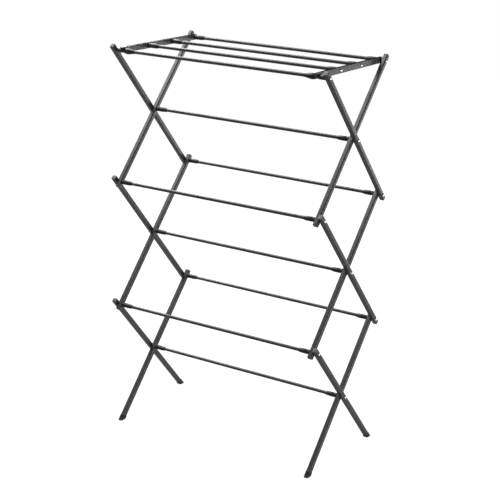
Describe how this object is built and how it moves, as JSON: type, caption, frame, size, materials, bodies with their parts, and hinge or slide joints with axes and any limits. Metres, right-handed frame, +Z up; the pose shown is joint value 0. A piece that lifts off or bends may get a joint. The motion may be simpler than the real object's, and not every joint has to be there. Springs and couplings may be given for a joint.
{
  "type": "clothes drying rack",
  "caption": "folding scissor-frame clothes drying rack with square tube arms, round hanging rods and a lift-up top shelf of rods",
  "frame": {"origin": "on the floor, in the middle of the footprint of the open rack", "axes": "+X along the rods, -Y front, +Z up"},
  "size_m": [0.6988, 0.375, 1.139],
  "materials": {
    "arm_coating": "fine satin powder coat, gunmetal",
    "bar_coating": "fine satin powder coat, gunmetal",
    "rod_coating": "smooth satin powder coat, near black",
    "black_plastic": "moulded black plastic, soft sheen",
    "plug_plastic": "moulded dark grey plastic, soft sheen",
    "foot_plastic": "moulded black plastic, matt",
    "bright_steel": "plated steel, bright",
    "nylon": "smooth nylon"
  },
  "bodies": {
    "base_rod": {"lower_cross_rod": "rod_coating", "lower_cross_rod_sleeves": "black_plastic", "lower_cross_rod_rivets": "bright_steel", "lower_cross_washers": "nylon"},
    "inner_legs": {"lower_inner_leg_left": "arm_coating", "lower_inner_leg_right": "arm_coating", "lower_inner_leg_plugs": "plug_plastic", "front_foot_caps": "foot_plastic"},
    "outer_legs": {"lower_outer_leg_left": "arm_coating", "lower_outer_leg_right": "arm_coating", "lower_outer_leg_plugs": "plug_plastic", "back_foot_caps": "foot_plastic", "lower_front_rod": "rod_coating", "lower_front_rod_sleeves": "black_plastic", "lower_front_rod_rivets": "bright_steel", "lower_front_washers": "nylon"},
    "middle_inner_arms": {"middle_inner_arm_left": "arm_coating", "middle_inner_arm_right": "arm_coating", "middle_inner_arm_plugs": "plug_plastic"},
    "middle_outer_arms": {"middle_outer_arm_left": "arm_coating", "middle_outer_arm_right": "arm_coating", "middle_outer_arm_plugs": "plug_plastic", "middle_cross_rod": "rod_coating", "middle_cross_rod_sleeves": "black_plastic", "middle_cross_rod_rivets": "bright_steel", "lower_back_rod": "rod_coating", "lower_back_rod_sleeves": "black_plastic", "lower_back_rod_rivets": "bright_steel", "upper_front_rod": "rod_coating", "upper_front_rod_sleeves": "black_plastic", "upper_front_rod_rivets": "bright_steel", "middle_washers": "nylon"},
    "upper_inner_arms": {"upper_inner_arm_left": "arm_coating", "upper_inner_arm_right": "arm_coating", "upper_inner_arm_plugs": "plug_plastic"},
    "upper_outer_arms": {"upper_outer_arm_left": "arm_coating", "upper_outer_arm_right": "arm_coating", "upper_outer_arm_plugs": "plug_plastic", "upper_cross_rod": "rod_coating", "upper_cross_rod_sleeves": "black_plastic", "upper_cross_rod_rivets": "bright_steel", "upper_back_rod": "rod_coating", "upper_back_rod_sleeves": "black_plastic", "upper_back_rod_rivets": "bright_steel", "top_front_rod": "rod_coating", "top_front_rod_sleeves": "black_plastic", "top_front_rod_rivets": "bright_steel", "upper_washers": "nylon", "front_rod_spacers": "arm_coating"},
    "back_top_rod": {"top_back_rod": "rod_coating", "top_back_rod_sleeves": "black_plastic", "top_back_rod_rivets": "bright_steel", "shelf_pivot_spacers": "nylon"},
    "shelf": {"shelf_bar_left": "bar_coating", "shelf_bar_right": "bar_coating", "shelf_hooks": "black_plastic", "top_second_rod": "rod_coating", "top_third_rod": "rod_coating", "shelf_rod_sleeves": "black_plastic", "shelf_rod_rivets": "bright_steel"}
  },
  "joints": [
    {"name": "fold", "type": "hinge", "parent": "base_rod", "child": "inner_legs", "pos_m": [0, 0, 0.18488], "axis": [-1, 0, 0], "range_deg": [0, 45]},
    {"name": "outer_legs_turn", "type": "hinge", "parent": "base_rod", "child": "outer_legs", "pos_m": [0, 0, 0.18488], "axis": [1, 0, 0], "range_deg": [0, 45]},
    {"name": "lower_front_turn", "type": "hinge", "parent": "outer_legs", "child": "middle_inner_arms", "pos_m": [0, -0.16663, 0.37125], "axis": [-1, 0, 0], "range_deg": [0, 90]},
    {"name": "middle_cross_turn", "type": "hinge", "parent": "middle_inner_arms", "child": "middle_outer_arms", "pos_m": [0, 0, 0.55762], "axis": [1, 0, 0], "range_deg": [0, 90]},
    {"name": "upper_front_turn", "type": "hinge", "parent": "middle_outer_arms", "child": "upper_inner_arms", "pos_m": [0, -0.16663, 0.74399], "axis": [-1, 0, 0], "range_deg": [0, 90]},
    {"name": "upper_cross_turn", "type": "hinge", "parent": "upper_inner_arms", "child": "upper_outer_arms", "pos_m": [0, 0, 0.93035], "axis": [1, 0, 0], "range_deg": [0, 90]},
    {"name": "back_top_rod_turn", "type": "hinge", "parent": "upper_inner_arms", "child": "back_top_rod", "pos_m": [0, 0.17063, 1.1212], "axis": [1, 0, 0], "range_deg": [0, 45]},
    {"name": "shelf_lift", "type": "hinge", "parent": "back_top_rod", "child": "shelf", "pos_m": [0, 0.17063, 1.1212], "axis": [-1, 0, 0], "range_deg": [0, 140]}
  ],
  "couplings": [
    {"joint": "outer_legs_turn", "follows": "fold", "ratio": 1},
    {"joint": "lower_front_turn", "follows": "fold", "ratio": 2},
    {"joint": "middle_cross_turn", "follows": "fold", "ratio": 2},
    {"joint": "upper_front_turn", "follows": "fold", "ratio": 2},
    {"joint": "upper_cross_turn", "follows": "fold", "ratio": 2},
    {"joint": "back_top_rod_turn", "follows": "fold", "ratio": 1}
  ]
}
